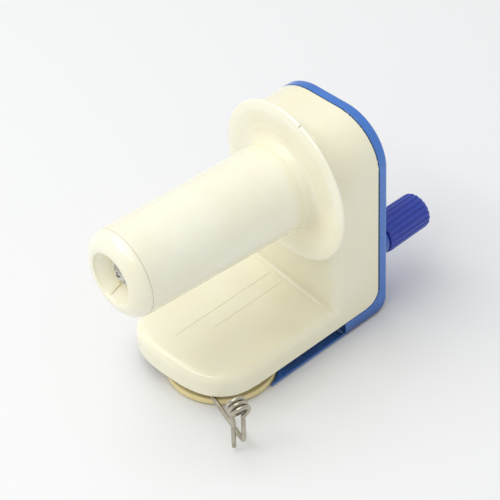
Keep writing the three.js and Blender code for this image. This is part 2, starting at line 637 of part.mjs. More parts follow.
const wireShape = new THREE.Shape(arc(0, 0, WIRE_R, 0, 300, 5).map(([a, b]) => new THREE.Vector2(a, b)));
const wire = new THREE.ExtrudeGeometry(wireShape, { steps: 100, extrudePath: guideCurve });
node('yarn_guide', solid(wire), NICKEL);

export default root;
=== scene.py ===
import json
import math

import bmesh
import bpy
import numpy as np
from mathutils import Matrix, Vector


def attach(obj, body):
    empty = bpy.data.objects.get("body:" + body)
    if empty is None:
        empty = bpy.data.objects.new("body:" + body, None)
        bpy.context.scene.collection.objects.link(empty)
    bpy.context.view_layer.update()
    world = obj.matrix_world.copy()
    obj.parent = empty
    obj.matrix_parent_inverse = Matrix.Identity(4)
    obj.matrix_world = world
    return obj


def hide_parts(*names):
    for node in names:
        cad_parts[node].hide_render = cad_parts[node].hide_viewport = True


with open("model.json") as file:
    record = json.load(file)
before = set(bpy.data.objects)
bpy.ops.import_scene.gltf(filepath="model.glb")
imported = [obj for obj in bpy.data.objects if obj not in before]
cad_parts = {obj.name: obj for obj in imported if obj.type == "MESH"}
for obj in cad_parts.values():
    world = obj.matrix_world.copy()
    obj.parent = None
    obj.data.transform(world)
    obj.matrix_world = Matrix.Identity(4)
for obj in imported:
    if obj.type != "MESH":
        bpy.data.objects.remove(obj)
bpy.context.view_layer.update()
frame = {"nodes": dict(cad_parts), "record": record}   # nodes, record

# Lengths below are millimetres in the drawing frame of part.mjs: z = 0 on the table, y = 0 in the seam.
MM = 0.001
SEAM_SHIFT = 50.0
SMOOTH_DEG = 60

HALF_W = 42.5
HEIGHT = 135.2
TOP_R = 30.4
SEAM_Z = 9.7
TOWER_D = 33.2
FRONT_SLANT = 0.11
EDGE_R = 8.5
PLATFORM_Z = 24.2
PLATFORM_R = 5.5
SIDE_END = 96.0
FRONT_END = 130.3
FRONT_POWER = 2.71
WALL = 2.4
BACK_Y = 7.2
SEAM_GAP = 0.3
RECESS_DEEP = 7.2
RECESS_ROOF = 8.5
RECESS_BACK = -28.0
RECESS_FLOOR = 1.2
RECESS_CLIMB = 3.4
RECESS_LIP = 1.9
PAN_EDGE_R = 0.35
SEAM_CORNER = 10.0
BACK_CORNER = 9.0
JUNCTION_R = 2.4
JUNCTION_TOP = 60
JUNCTION_FRONT = -80

# the platform's two faint lines, each with its X and its front end
GROOVES = [(-9.4, -113), (1.6, -94)]
GROOVE_BACK = -38
GROOVE_HALF = 0.22
GROOVE_DEPTH = 0.12

MAIN_Z = 106.5
MAIN_PAD_R = 13
MAIN_BOSS_R = 10
MAIN_BORE_R = 5.8
CRANK_Z = 75.25
CRANK_BOSS_R = 7.5
CRANK_BORE_R = 5.3
CRANK_BORE_END = -30.2
BOSS_SINK = 1

# cover screws in X and Z, pan screws in X and Y
POSTS = [(-34, 38), (34, 38), (-26, 117), (26, 117)]
PAN_SCREWS = [(-27, -46), (27, -46)]
POST_R = 5
SCREW_HOLE_R = 1.8
SCREW_SINK_R = 3.3

ARM_Y = 12.4
ARM_HALF = 2.6
SHAFT_R = 3.25
SHAFT_END = 14.7
GRIP_X = 26.9
GRIP_Z = 40.7
GRIP_R = 11.5
GRIP_TAPER = 0.3
GRIP_ROOT = 15.5
GRIP_ROOT_ROUND = 1.4
GRIP_LENGTH = 30.2
GRIP_RIBS = 20
GRIP_STEPS = 12
RIB_DEPTH = 0.9

TILT = math.radians(4.984)
PHASE = math.radians(13.3)
SPOOL_ORIGIN = (12.732087, -45.3, 109.509738)
TUBE_R = 26.8
TUBE_IN_R = 24.6
TUBE_END = 114.0
HUB_R = 7.5
HUB_BORE_R = 4.4
CAP_GAP = 0.14
CAP_ARC_STEPS = 22
NOTCH_DEG = 59.0
RIB_DEG = -120.0

DISC_X = 9.0
DISC_Y = -96.0
DISC_R = 32.2
DISC_CORE_R = 22.8
DISC_UNDER = 2.4
DISC_TOP = 6.1
DISC_RIM = 4.4
DISC_ROOM = 0.6
PIVOT_POST_R = 5.4
PIVOT_POST_TOP = 23
PIVOT_HOLE_R = 1.9
PIVOT_HOLE_TOP = 18
CLAMP_Y = -107.9
WIRE_R = 1.4
WIRE_Z = 7.85
WIRE_SLIM = 0.95   # the round wire is a little slimmer than the corners of the CAD's six-sided one
LOOP_R = 4.35
LOOP_STEPS = 16
GUIDE_ANGLE = math.radians(-18.8)
ARM_LENGTH = 73.4
COIL_R = 4.4
COIL_FROM = -70.0
COIL_TO = 920.0
COIL_PITCH = 2.95
COIL_RISE = 27.6
COIL_SHIFT = 2.5
COIL_STEPS = 64
COIL_AXIS = (0.90, -0.20, -0.38)
TAIL_Z = 2.4
TAIL_SHIFT = 2.6

# camera: turned right of the front, looking down, slightly rolled; its place is in metres, its angles in
# degrees and its lens in millimetres
CAM_AT = (0.838981, -0.799786, 1.032211)
CAM_AZ = 46.7947
CAM_EL = 40.1358
CAM_ROLL = -2.1820
CAM_LENS = 190.743


# ------------------------------------------------------------------ mesh helpers
def add_object(name, verts, faces, body, slot, material, replaces=(), smooth=SMOOTH_DEG):
    """Makes a piece from drawing-frame points and puts it on its CAD body."""
    pts = np.asarray(verts, float).reshape(-1, 3) + (0.0, SEAM_SHIFT, 0.0)
    mesh = bpy.data.meshes.new(name)
    mesh.from_pydata((pts * MM).tolist(), [], [list(map(int, f)) for f in faces])
    mesh.validate()
    obj = bpy.data.objects.new(name, mesh)
    bpy.context.scene.collection.objects.link(obj)
    finish_mesh(mesh, smooth)
    mesh.materials.append(material)
    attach(obj, body)
    if replaces:
        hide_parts(*replaces)
    return obj


def finish_mesh(mesh, smooth):
    """Faces outward, smooth shading, and hard edges above the angle."""
    bm = bmesh.new()
    bm.from_mesh(mesh)
    bmesh.ops.remove_doubles(bm, verts=bm.verts, dist=1e-6)
    bmesh.ops.recalc_face_normals(bm, faces=bm.faces)
    if bm.calc_volume(signed=True) < 0:
        bmesh.ops.reverse_faces(bm, faces=bm.faces)
    limit = math.radians(smooth)
    for face in bm.faces:
        face.smooth = True
    for edge in bm.edges:
        edge.smooth = len(edge.link_faces) != 2 or edge.calc_face_angle(0.0) < limit
    bm.to_mesh(mesh)
    bm.free()


def lathe(profile, n, close=True):
    """Turned shape about +Z from radius and height points: a closed loop, or a line from axis to axis."""
    prof = np.asarray(profile, float)
    m = len(prof)
    ang = np.arange(n) * 2 * math.pi / n
    verts = np.stack([
        np.outer(np.cos(ang), prof[:, 0]),
        np.outer(np.sin(ang), prof[:, 0]),
        np.outer(np.ones(n), prof[:, 1]),
    ], axis=2).reshape(-1, 3)
    faces = []
    for i in range(n):
        a, b = i * m, (i + 1) % n * m
        for j in range(m if close else m - 1):
            k = (j + 1) % m
            faces.append((a + j, b + j, b + k, a + k))
    return verts, faces


def soften(points, radii, steps=5, closed=True):
    """Rounds the corners of a flat outline; radii holds one radius per corner."""
    pts = [np.array(p, float) for p in points]
    n = len(pts)
    if isinstance(radii, (int, float)):
        radii = [radii] * n
    out = []
    for i in range(n):
        p, r = pts[i], radii[i]
        if r <= 0 or (not closed and i in (0, n - 1)):
            out.append(p)
            continue
        a, b = pts[i - 1] - p, pts[(i + 1) % n] - p
        la, lb = np.linalg.norm(a), np.linalg.norm(b)
        a, b = a / la, b / lb
        turn = math.acos(max(-1.0, min(1.0, float(a @ b))))
        reach = min(r / math.tan(turn / 2), 0.48 * la, 0.48 * lb)
        for k in range(steps + 1):
            t = k / steps
            q = (1 - t) ** 2 * (p + a * reach) + 2 * t * (1 - t) * p + t * t * (p + b * reach)
            out.append(q)
    return np.array(out)


def arc(cx, cy, r, a0, a1, n):
    """Points along an arc, its angles in degrees."""
    return [(cx + r * math.cos(math.radians(a0 + (a1 - a0) * i / n)),
             cy + r * math.sin(math.radians(a0 + (a1 - a0) * i / n))) for i in range(n + 1)]


def loft(rings):
    """Closed skin over rings of equal length, with flat fans at both ends."""
    rings = [np.asarray(r, float) for r in rings]
    n = len(rings[0])
    verts = list(np.concatenate(rings))
    faces = []
    for i in range(len(rings) - 1):
        for j in range(n):
            a, b = i * n + j, i * n + (j + 1) % n
            faces.append((a, b, b + n, a + n))
    for ring, start in ((rings[0], 0), (rings[-1], (len(rings) - 1) * n)):
        verts.append(ring.mean(axis=0))
        c = len(verts) - 1
        faces += [(start + j, start + (j + 1) % n, c) for j in range(n)]
    return np.array(verts), faces


def tube(path, radius, n):
    """Round wire along a path, with domed ends."""
    pts = np.asarray(path, float)
    tan = np.gradient(pts, axis=0)
    tan /= np.linalg.norm(tan, axis=1)[:, None]
    up = np.cross(tan[0], (0.3, 0.2, 1.0))
    up /= np.linalg.norm(up)
    spine, frames, radii = [], [], []
    for i, t in enumerate(tan):
        up = up - t * (up @ t)
        up /= np.linalg.norm(up)
        frames.append((up.copy(), np.cross(t, up)))
    ends = [(math.cos(a), math.sin(a)) for a in np.linspace(math.radians(80), 0, 5)[:-1]]
    for c, s in ends:
        spine.append((pts[0] - tan[0] * radius * s, frames[0], radius * c))
    for p, f in zip(pts, frames):
        spine.append((p, f, radius))
    for c, s in reversed(ends):
        spine.append((pts[-1] + tan[-1] * radius * s, frames[-1], radius * c))
    ang = np.arange(n) * 2 * math.pi / n
    rings = [p + r * (np.outer(np.cos(ang), f[0]) + np.outer(np.sin(ang), f[1])) for p, f, r in spine]
    return loft(rings)


def place(verts, origin, axis, side):
    """Moves local points so that local Z is axis and local X is side."""
    z = np.array(axis, float) / np.linalg.norm(axis)
    x = np.array(side, float) - z * (np.array(side, float) @ z)
    x /= np.linalg.norm(x)
    return np.asarray(verts) @ np.stack([x, np.cross(z, x), z]) + np.array(origin, float)


# ------------------------------------------------------------------ solids from distance fields
def rmax(a, b, r):
    """Intersection of two solids with a rounded edge of radius r."""
    return np.hypot(np.maximum(a + r, 0), np.maximum(b + r, 0)) + np.minimum(np.maximum(a, b) + r, 0) - r


def rmin(a, b, r):
    """Union of two solids with a filleted inner corner of radius r."""
    return -rmax(-a, -b, r)


def slab(v, low, high):
    """Distance to the space between two levels of one coordinate."""
    return np.maximum(low - v, v - high)


def surface_cells(field, lo, hi, h):
    """One point per grid cell that the surface crosses, and the quads that join them."""
    axes = [np.arange(a, b + h, h) for a, b in zip(lo, hi)]
    shape = [len(a) for a in axes]
    value = np.empty(shape, np.float32)
    for i, x in enumerate(axes[0]):
        value[i] = field(x, axes[1][:, None], axes[2][None, :])
    inside = value < 0
    corners = [inside[i:shape[0] - 1 + i, j:shape[1] - 1 + j, k:shape[2] - 1 + k]
               for i in (0, 1) for j in (0, 1) for k in (0, 1)]
    count = sum(c.astype(np.int8) for c in corners)
    cells = np.argwhere((count > 0) & (count < 8))
    index = -np.ones([s - 1 for s in shape], np.int64)
    index[tuple(cells.T)] = np.arange(len(cells))
    total = np.zeros((len(cells), 3))
    hits = np.zeros(len(cells))
    for axis in range(3):
        others = [a for a in range(3) if a != axis]
        for u in (0, 1):
            for w in (0, 1):
                start = np.zeros(3, int)
                start[others[0]], start[others[1]] = u, w
                stop = start.copy()
                stop[axis] = 1
                a = value[tuple((cells + start).T)].astype(float)
                b = value[tuple((cells + stop).T)].astype(float)
                cross = (a < 0) != (b < 0)
                t = np.where(cross, a / np.where(cross, a - b, 1), 0)
                p = np.repeat(start[None].astype(float), len(cells), 0)
                p[:, axis] = t
                total[cross] += p[cross]
                hits += cross
    pts = (cells + total / hits[:, None]) * h + np.array(lo)
    faces = []
    for axis in range(3):
        u, w = (axis + 1) % 3, (axis + 2) % 3
        head = [slice(None)] * 3
        tail = [slice(None)] * 3
        head[axis], tail[axis] = slice(0, -1), slice(1, None)
        change = inside[tuple(head)] != inside[tuple(tail)]
        spots = np.argwhere(change)
        keep = (spots[:, u] > 0) & (spots[:, w] > 0)
        keep &= (spots[:, u] < shape[u] - 1) & (spots[:, w] < shape[w] - 1)
        spots = spots[keep]
        ring = []
        for du, dw in ((-1, -1), (0, -1), (0, 0), (-1, 0)):
            s = spots.copy()
            s[:, u] += du
            s[:, w] += dw
            ring.append(index[tuple(s.T)])
        quad = np.stack(ring, 1)
        outward = inside[tuple(spots.T)]
        quad[~outward] = quad[~outward][:, ::-1]
        faces.append(quad)
    return pts, np.concatenate(faces)


def skin(field, lo, hi, h, relax=3):
    """Even quad mesh drawn onto the zero surface of the field."""
    pts, faces = surface_cells(field, lo, hi, h)
    links = np.concatenate([faces[:, [0, 1]], faces[:, [1, 2]], faces[:, [2, 3]], faces[:, [3, 0]]])
    links = np.concatenate([links, links[:, ::-1]])
    degree = np.bincount(links[:, 0], minlength=len(pts))[:, None]

    def settle(p, rounds):
        e = 0.02
        for _ in range(rounds):
            v = field(p[:, 0], p[:, 1], p[:, 2])
            g = np.stack([
                field(p[:, 0] + e, p[:, 1], p[:, 2]) - field(p[:, 0] - e, p[:, 1], p[:, 2]),
                field(p[:, 0], p[:, 1] + e, p[:, 2]) - field(p[:, 0], p[:, 1] - e, p[:, 2]),
                field(p[:, 0], p[:, 1], p[:, 2] + e) - field(p[:, 0], p[:, 1], p[:, 2] - e),
            ], 1) / (2 * e)
            size = np.maximum((g * g).sum(1), 0.2)
            p = p - np.clip(v / size, -h / 2, h / 2)[:, None] * g
        return p

    pts = settle(pts, 3)
    for _ in range(relax):
        mean = np.stack([np.bincount(links[:, 0], weights=pts[links[:, 1], k], minlength=len(pts))
                         for k in range(3)], 1) / degree
        pts = settle(pts * 0.5 + mean * 0.5, 2)
    return pts, faces


def arch(x, z):
    """Distance to the tower's outline in X and Z."""
    ax = np.abs(x)
    return rmax(ax - HALF_W, z - HEIGHT, TOP_R)


def plan(x, y):
    """Distance to the base's outline in X and Y."""
    ax = np.abs(x)
    t = np.minimum(y + SIDE_END, 0.0)
    nose = FRONT_END - SIDE_END
    p = FRONT_POWER
    u, w = ax / HALF_W, np.abs(t) / nose
    s = np.maximum(u ** p + w ** p, 1e-9)
    g = s ** (1 / p)
    k = s ** (1 / p - 1)
    slope = np.hypot(k * u ** (p - 1) / HALF_W, k * w ** (p - 1) / nose)
    return (g - 1) / np.maximum(slope, 1 / HALF_W * 0.6)


def body_shape(x, y, z):
    """Tower and platform together, before the seam is cut and before they are hollowed."""
    front = (-TOWER_D - FRONT_SLANT * x - y) / math.hypot(1, FRONT_SLANT)
    tower = rmax(arch(x, z), front, EDGE_R)
    base = rmax(plan(x, y), z - PLATFORM_Z, PLATFORM_R)
    corner = rmax(rmin(front, z - PLATFORM_Z, JUNCTION_R), np.abs(x) - HALF_W, EDGE_R)
    corner = np.maximum(corner, np.maximum(z - JUNCTION_TOP, JUNCTION_FRONT - y))
    return np.minimum(np.minimum(tower, base), corner)


def seam(y, z):
    """Negative on the cream side of the seam."""
    return rmax(y, SEAM_Z - z, SEAM_CORNER)


def housing_field(x, y, z):
    """Cream case: a shell with bearing bosses behind its face and a post for the disc's pivot screw."""
    shell = body_shape(x, y, z)
    f = rmax(shell, seam(y, z), 0.5)
    f = np.maximum(f, -(shell + WALL))
    main = np.hypot(x, z - MAIN_Z)
    pad = np.maximum(main - MAIN_PAD_R, slab(y, -TOWER_D - 1.3, -TOWER_D + 1.5))
    boss = np.maximum(main - MAIN_BOSS_R, slab(y, -TOWER_D + BOSS_SINK, -24))
    f = np.minimum(f, np.minimum(pad, boss))
    crank = np.hypot(x, z - CRANK_Z)
    hub = np.maximum(crank - CRANK_BOSS_R, slab(y, -TOWER_D + BOSS_SINK, -23))
    f = np.minimum(f, hub)
    f = np.maximum(f, MAIN_BORE_R - main)
    socket = np.maximum(crank - CRANK_BORE_R, CRANK_BORE_END - y)
    f = np.maximum(f, -socket)
    pivot = np.hypot(x - DISC_X, y - DISC_Y)
    post = np.maximum(pivot - PIVOT_POST_R, slab(z, DISC_TOP + 0.4, PIVOT_POST_TOP))
    post = np.maximum(post, PIVOT_HOLE_R - np.maximum(pivot, z - PIVOT_HOLE_TOP + PIVOT_HOLE_R))
    return np.minimum(f, post)


def scallop(x, y, z):
    """Negative inside the side recess under the housing's edge."""
    inward = HALF_W - np.abs(x)
    share = np.clip(inward - 0.2, 0, RECESS_DEEP) / RECESS_DEEP
    floor_z = RECESS_FLOOR + RECESS_CLIMB * share ** 1.6
    f = rmax(inward - RECESS_DEEP, y - RECESS_BACK, 6.0)
    f = rmax(f, (floor_z - z) * 0.85, 1.2)
    return np.maximum(f, np.minimum(z - RECESS_ROOF, inward - RECESS_LIP))


def cover_field(x, y, z):
    """Blue cover and base pan in one shell, with the side recesses and the room for the disc cut out."""
    back = rmax(y - BACK_Y, -z, BACK_CORNER)
    f = rmax(arch(x, z), back, 2.2)
    f = rmax(f, -SIDE_END - y, 1.0)
    cut_in = rmax(f, SEAM_GAP - seam(y, z), PAN_EDGE_R)
    recess = scallop(x, y, z)
    pivot = np.hypot(x - DISC_X, y - DISC_Y)
    hollow = np.maximum(f + WALL, -(recess - WALL))
    hollow = np.maximum(hollow, -(pivot - DISC_R - 2.8))
    hollow = np.maximum(hollow, -SIDE_END + 2 - y)
    g = np.maximum(cut_in, -hollow)
    g = rmax(g, -recess, PAN_EDGE_R)
    g = rmax(g, DISC_R + DISC_ROOM - pivot, PAN_EDGE_R)
    box = np.maximum(DISC_X - x, y + SIDE_END - 7)
    g = rmax(g, -box, PAN_EDGE_R)
    return cover_bosses(g, x, y, z)


def cover_bosses(g, x, y, z):
    """Adds the cover's bearing seats and screw posts to its shell, and drills them."""
    crank = np.hypot(x, z - CRANK_Z)
    ring = rmax(crank - 8, y - BACK_Y - 2.2, 0.6)
    g = np.minimum(g, np.maximum(ring, -3 - y))
    main = np.hypot(x, z - MAIN_Z)
    hub = np.maximum(main - 7, slab(y, -3.5, BACK_Y - 1.5))
    g = np.minimum(g, hub)
    g = np.maximum(g, 4.8 - crank)
    g = np.maximum(g, -np.maximum(main - 4.3, y - 2.8))
    for px, pz in POSTS:
        r = np.hypot(x - px, z - pz)
        g = np.minimum(g, np.maximum(r - POST_R, slab(y, 0.4, BACK_Y - 1.5)))
        g = np.maximum(g, SCREW_HOLE_R - r)
        g = np.maximum(g, -np.maximum(r - SCREW_SINK_R, BACK_Y - 2.2 - y))
    for px, py in PAN_SCREWS:
        r = np.hypot(x - px, y - py)
        g = np.minimum(g, np.maximum(r - POST_R, slab(z, 1.2, 4.6)))
        g = np.maximum(g, SCREW_HOLE_R - np.maximum(r, z - 6 + SCREW_HOLE_R))
        g = np.maximum(g, -np.maximum(r - SCREW_SINK_R, z - 2.4))
    return g


# ------------------------------------------------------------------ other solids
def disc_field(x, y, z):
    """Swivel disc: a plate with a raised core, a rim underneath and a boss for the wire's screw."""
    r = np.hypot(x - DISC_X, y - DISC_Y)
    core = rmax(r - DISC_CORE_R, slab(z, DISC_UNDER, DISC_TOP), 0.5)
    plate = rmax(r - DISC_R, slab(z, DISC_UNDER, DISC_RIM), 0.5)
    rim = rmax(np.abs(r - DISC_R + 1.3) - 1.3, np.abs(z - 1.9) - 1.3, 0.5)
    f = np.minimum(rmin(core, plate, 0.5), rim)
    f = np.maximum(f, -np.maximum(r - 7.3, z - 2.9))
    clamp = np.hypot(x, y - CLAMP_Y)
    boss = np.maximum(clamp - 4.2, slab(z, 1.2, DISC_TOP - 1))
    f = np.minimum(f, boss)
    f = np.maximum(f, 3.1 - r)
    return np.maximum(f, 1.7 - np.maximum(clamp, 2.2 + 1.7 - z))


def arm_field(x, y, z):
    """Crank arm: a flat bar from the crank's axis to the grip's, with a hub on the crank's axis."""
    length = math.hypot(GRIP_X, CRANK_Z - GRIP_Z)
    ux, uz = GRIP_X / length, (GRIP_Z - CRANK_Z) / length
    a = x * ux + (z - CRANK_Z) * uz
    b = np.abs(-x * uz + (z - CRANK_Z) * ux)
    t = np.clip(a / length, 0, 1)
    flat = np.hypot(a - t * length, b) - (11.0 - 0.4 * t)
    f = rmax(flat, np.abs(y - ARM_Y) - ARM_HALF, 1.1)
    crank = np.hypot(x, z - CRANK_Z)
    f = rmin(f, rmax(crank - 7, slab(y, 11, 17.2), 0.7), 1.0)
    f = np.maximum(f, SHAFT_R - np.maximum(crank, y - SHAFT_END + SHAFT_R))
    f = np.maximum(f, SCREW_HOLE_R - crank)
    return np.maximum(f, 2.8 - np.hypot(x - GRIP_X, z - GRIP_Z))


def screw_field(head_r, head_h, shank_r, length):
    """Domed cross-recess screw along local Z, its seat at z = 0."""
    def field(x, y, z):
        r = np.hypot(x, y)
        ball = (head_r ** 2 + (0.75 * head_h) ** 2) / (1.5 * head_h)
        dome = np.sqrt(r * r + (z + ball - head_h) ** 2) - ball
        head = rmax(np.maximum(r - head_r, -z), dome, 0.15 * head_h)
        shank = np.maximum(r - shank_r, slab(z, -length, 0.1))
        taper = head_r * 0.17 * (0.5 + 0.5 * np.clip(z / head_h, 0, 1))
        reach = head_r * (0.3 + 0.3 * np.clip(z / head_h, 0, 1))
        slot_x = np.maximum(np.abs(x) - taper, np.abs(y) - reach)
        slot_y = np.maximum(np.abs(y) - taper, np.abs(x) - reach)
        cross = np.maximum(np.minimum(slot_x, slot_y), 0.3 * head_h - z)
        return rmax(np.minimum(head, shank), -cross, 0.06 * head_r)
    return field


def screw_shape(head_r, head_h, shank_r, length):
    """Mesh of one screw, from the radius and height of its head and the radius and length of its shank."""
    room = 0.4
    lo = (-head_r - room, -head_r - room, -length - room)
    hi = (head_r + room, head_r + room, head_h + room)
    return skin(screw_field(head_r, head_h, shank_r, length), lo, hi, 0.24, 2)


def apply_boolean(obj, cutters):
    """Cuts the given closed shapes out of a piece."""
    for verts, faces in cutters:
        mesh = bpy.data.meshes.new("cutter")
        pts = (np.asarray(verts, float) + (0.0, SEAM_SHIFT, 0.0)) * MM
        mesh.from_pydata(pts.tolist(), [], faces)
        tool = bpy.data.objects.new("cutter", mesh)
        bpy.context.scene.collection.objects.link(tool)
        finish_mesh(mesh, 30)
        mod = obj.modifiers.new("cut", "BOOLEAN")
        mod.operation = "DIFFERENCE"
        mod.solver = "EXACT"
        mod.object = tool
        bpy.context.view_layer.update()
        cut_object = obj.evaluated_get(bpy.context.evaluated_depsgraph_get())
        done = bpy.data.meshes.new_from_object(cut_object)
        obj.modifiers.remove(mod)
        old = obj.data
        obj.data = done
        bpy.data.meshes.remove(old)
        bpy.data.objects.remove(tool)
        bpy.data.meshes.remove(mesh)


def brick(x0, x1, y0, y1, z0, z1):
    """Box between two corners."""
    ring = [(x0, y0), (x1, y0), (x1, y1), (x0, y1)]
    return loft([[(x, y, z) for x, y in ring] for z in (z0, z1)])


# ------------------------------------------------------------------ materials
def srgb(r, g, b):
    """Linear colour of a screen colour."""
    def one(c):
        c /= 255
        return c / 12.92 if c <= 0.04045 else ((c + 0.055) / 1.055) ** 2.4
    return (one(r), one(g), one(b), 1.0)


class Shader:
    """Small builder for procedural materials; every texture is in object space, in metres."""

    def __init__(self, name):
        self.material = bpy.data.materials.new(name)
        self.material.use_nodes = True
        self.tree = self.material.node_tree
        self.bsdf = self.tree.nodes["Principled BSDF"]
        self.space = self.tree.nodes.new("ShaderNodeTexCoord").outputs["Object"]

    def add(self, kind, **links):
        node = self.tree.nodes.new(kind)
        for key, value in links.items():
            key = key.replace("_", " ")
            if isinstance(value, bpy.types.NodeSocket):
                self.tree.links.new(value, node.inputs[key])
            else:
                node.inputs[key].default_value = value
        return node

    def noise(self, scale, detail=4.0, rough=0.55, stretch=None, turn=(0, 0, 0)):
        vector = self.space
        if stretch:
            vector = self.add("ShaderNodeMapping", Vector=vector, Scale=stretch, Rotation=turn).outputs[0]
        return self.add("ShaderNodeTexNoise", Vector=vector, Scale=scale, Detail=detail,
                        Roughness=rough).outputs["Fac"]

    def spread(self, value, low, high, out_low, out_high):
        node = self.tree.nodes.new("ShaderNodeMapRange")
        self.tree.links.new(value, node.inputs["Value"])
        for key, v in zip(("From Min", "From Max", "To Min", "To Max"), (low, high, out_low, out_high)):
            node.inputs[key].default_value = v
        return node.outputs["Result"]

    def mix(self, factor, a, b):
        node = self.tree.nodes.new("ShaderNodeMix")
        node.data_type = "RGBA"
        for socket, value in zip((node.inputs[0], node.inputs[6], node.inputs[7]), (factor, a, b)):
            if isinstance(value, bpy.types.NodeSocket):
                self.tree.links.new(value, socket)
            else:
                socket.default_value = value
        return node.outputs[2]

    def bump(self, height, strength, distance, below=None):
        node = self.add("ShaderNodeBump", Height=height, Strength=strength, Distance=distance)
        if below is not None:
            self.tree.links.new(below, node.inputs["Normal"])
        return node.outputs[0]

    # Ambient occlusion mask: a darker colour mixed in by it is painted shade in crevices and recesses.
    def painted_shade(self, distance):
        node = self.add("ShaderNodeAmbientOcclusion", Distance=distance)
        node.samples = 6
        return node.outputs["AO"]

    def edges(self, low, high):
        point = self.tree.nodes.new("ShaderNodeNewGeometry").outputs["Pointiness"]
        return self.spread(point, low, high, 0.0, 1.0)

    def done(self, color, roughness, normal, **fixed):
        self.tree.links.new(color, self.bsdf.inputs["Base Color"])
        self.tree.links.new(roughness, self.bsdf.inputs["Roughness"])
        self.tree.links.new(normal, self.bsdf.inputs["Normal"])
        for key, value in fixed.items():
            self.bsdf.inputs[key.replace("_", " ")].default_value = value
        return self.material


def plastic(name, base, deep_and_shade, pale, rough, grain=0.05, glow=0.0, coat=0.0, worn=0.14,
            shade=0.45, reach=0.006, radius=(1.0, 0.8, 0.45)):
    """Moulded plastic: faint mottling, painted shade in crevices and recesses, polished edges, fine grain
    and hairline scratches.
    """
    s = Shader(name)
    cloud = s.spread(s.noise(26, 5), 0.35, 0.68, 0.0, 0.2)
    flow = s.spread(s.noise(9, 3, 0.5, (1.0, 0.35, 1.0)), 0.4, 0.65, 0.0, 0.12)
    color = s.mix(cloud, base, deep_and_shade)
    color = s.mix(flow, color, pale)
    # Painted shade: the deep colour is mixed into crevices and recesses by ambient occlusion.
    color = s.mix(s.spread(s.painted_shade(reach), 0.3, 0.92, shade, 0.0), color, deep_and_shade)
    color = s.mix(s.spread(s.edges(0.52, 0.6), 0.0, 1.0, 0.0, worn), color, pale)
    specks = s.spread(s.noise(900, 2, 0.6), 0.68, 0.76, 0.0, 0.08)
    color = s.mix(specks, color, deep_and_shade)
    hair = s.noise(18, 6, 0.65, (6.0, 120.0, 14.0), (0.2, 0.3, 0.6))
    lines = s.spread(hair, 0.62, 0.7, 0.0, 1.0)
    patch = s.spread(s.noise(60, 5, 0.6), 0.3, 0.7, rough - 0.03, rough + 0.04)
    rub = s.tree.nodes.new("ShaderNodeMath")
    rub.operation = "MULTIPLY_ADD"
    s.tree.links.new(lines, rub.inputs[0])
    rub.inputs[1].default_value = 0.025
    s.tree.links.new(patch, rub.inputs[2])
    normal = s.bump(s.noise(700, 3, 0.5), grain, 0.00008)
    normal = s.bump(s.noise(38, 2, 0.4), grain * 1.2, 0.0004, normal)
    normal = s.bump(lines, 0.02, 0.00002, normal)
    return s.done(color, rub.outputs[0], normal, IOR=1.5, Subsurface_Weight=glow, Subsurface_Scale=0.004,
                  Subsurface_Radius=radius, Coat_Weight=coat, Coat_Roughness=0.12)


def metal(name, base, dark_and_shade, rough, lines=(40.0, 40.0, 900.0), turn=(0, 0, 0), brush=0.12):
    """Bare or plated metal with drawn lines, slight staining, and painted shade in its crevices."""
    s = Shader(name)
    stain = s.spread(s.noise(120, 6, 0.6), 0.35, 0.7, 0.0, 0.5)
    color = s.mix(stain, base, dark_and_shade)
    # Painted shade: the dark colour is mixed into crevices by ambient occlusion.
    color = s.mix(s.spread(s.painted_shade(0.003), 0.2, 0.9, 0.6, 0.0), color, dark_and_shade)
    drawn = s.noise(3.0, 5, 0.6, lines, turn)
    roughness = s.spread(drawn, 0.3, 0.7, rough - 0.06, rough + 0.12)
    normal = s.bump(drawn, brush, 0.00004)
    normal = s.bump(s.noise(1500, 3), 0.05, 0.00003, normal)
    return s.done(color, roughness, normal, Metallic=1.0)


